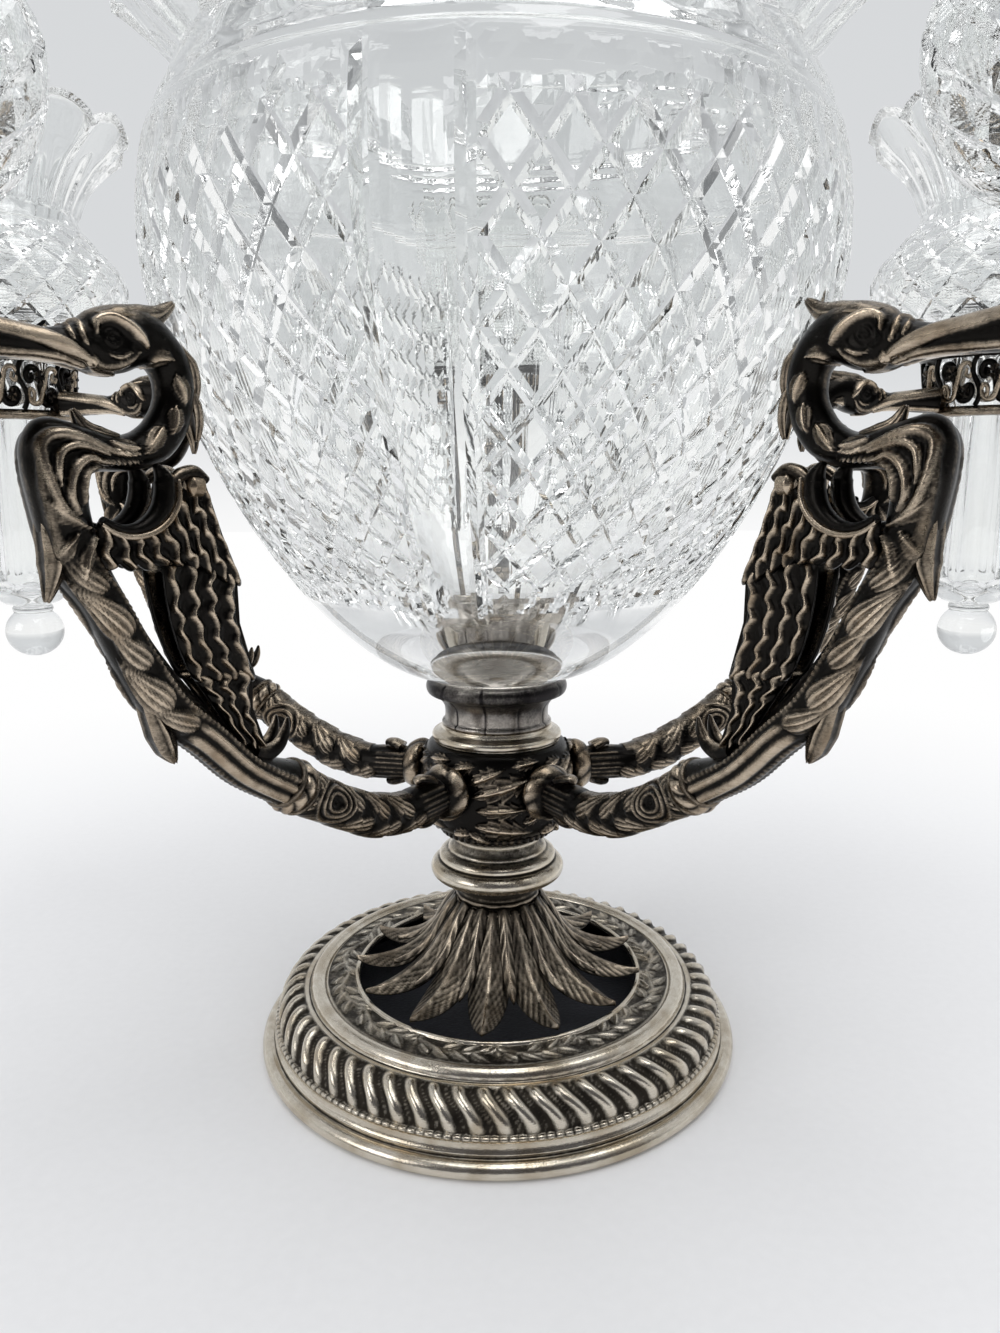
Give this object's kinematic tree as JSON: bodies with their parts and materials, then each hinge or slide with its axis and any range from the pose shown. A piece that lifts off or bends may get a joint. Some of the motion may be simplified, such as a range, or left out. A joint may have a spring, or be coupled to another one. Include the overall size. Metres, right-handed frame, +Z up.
{
  "type": "epergne",
  "caption": "Silver table centrepiece: round pierced foot and stem with long-beaked bird branches, a cut-glass bowl in a socket and small cut-glass vases in pierced galleries.",
  "frame": {"origin": "on the stem's axis at the flat underside of the foot", "axes": "+Z up along the stem, +X to the right and +Y away from the viewer in the picture; one branch points along +Y"},
  "size_m": [0.4508, 0.4333, 0.3384],
  "materials": {
    "silver": "polished silver, worn",
    "oxidised_silver": "black oxidised silver with bright worn ridges",
    "cut_glass": "clear cut lead glass",
    "steel": "plain turned steel",
    "baize": "dark baize on a weight"
  },
  "bodies": {
    "stem": {"foot": "silver", "base_plate": "baize", "leaf_calyx": "silver", "stem_collar": "oxidised_silver", "knop": "silver", "hub": "oxidised_silver", "hub_ring": "silver", "bowl_socket": "oxidised_silver", "tie_rod": "steel", "tie_washer": "steel", "tie_nut": "steel"},
    "bowl_glass": {"bowl": "cut_glass"},
    "branch_1": {"arm_root_1": "oxidised_silver", "arm_collar_1": "oxidised_silver", "bird_1": "oxidised_silver", "gallery_1": "oxidised_silver"},
    "vase_glass_1": {"vase_1": "cut_glass"},
    "branch_2": {"arm_root_2": "oxidised_silver", "arm_collar_2": "oxidised_silver", "bird_2": "oxidised_silver", "gallery_2": "oxidised_silver"},
    "vase_glass_2": {"vase_2": "cut_glass"},
    "branch_3": {"arm_root_3": "oxidised_silver", "arm_collar_3": "oxidised_silver", "bird_3": "oxidised_silver", "gallery_3": "oxidised_silver"},
    "vase_glass_3": {"vase_3": "cut_glass"},
    "branch_4": {"arm_root_4": "oxidised_silver", "arm_collar_4": "oxidised_silver", "bird_4": "oxidised_silver", "gallery_4": "oxidised_silver"},
    "vase_glass_4": {"vase_4": "cut_glass"},
    "branch_5": {"arm_root_5": "oxidised_silver", "arm_collar_5": "oxidised_silver", "bird_5": "oxidised_silver", "gallery_5": "oxidised_silver"},
    "vase_glass_5": {"vase_5": "cut_glass"}
  },
  "joints": [
    {"name": "bowl_lift", "type": "slide", "parent": "stem", "child": "bowl_glass", "axis": [0, 0, 1], "range_m": [0, 0.2]},
    {"name": "branch_pull_1", "type": "slide", "parent": "stem", "child": "branch_1", "axis": [0.5878, -0.809, 0], "range_m": [0, 0.02]},
    {"name": "vase_lift_1", "type": "slide", "parent": "branch_1", "child": "vase_glass_1", "axis": [0, 0, 1], "range_m": [0, 0.115]},
    {"name": "branch_pull_2", "type": "slide", "parent": "stem", "child": "branch_2", "axis": [0.9511, 0.309, 0], "range_m": [0, 0.02]},
    {"name": "vase_lift_2", "type": "slide", "parent": "branch_2", "child": "vase_glass_2", "axis": [0, 0, 1], "range_m": [0, 0.115]},
    {"name": "branch_pull_3", "type": "slide", "parent": "stem", "child": "branch_3", "axis": [0, 1, 0], "range_m": [0, 0.02]},
    {"name": "vase_lift_3", "type": "slide", "parent": "branch_3", "child": "vase_glass_3", "axis": [0, 0, 1], "range_m": [0, 0.115]},
    {"name": "branch_pull_4", "type": "slide", "parent": "stem", "child": "branch_4", "axis": [-0.9511, 0.309, 0], "range_m": [0, 0.02]},
    {"name": "vase_lift_4", "type": "slide", "parent": "branch_4", "child": "vase_glass_4", "axis": [0, 0, 1], "range_m": [0, 0.115]},
    {"name": "branch_pull_5", "type": "slide", "parent": "stem", "child": "branch_5", "axis": [-0.5878, -0.809, 0], "range_m": [0, 0.02]},
    {"name": "vase_lift_5", "type": "slide", "parent": "branch_5", "child": "vase_glass_5", "axis": [0, 0, 1], "range_m": [0, 0.115]}
  ]
}
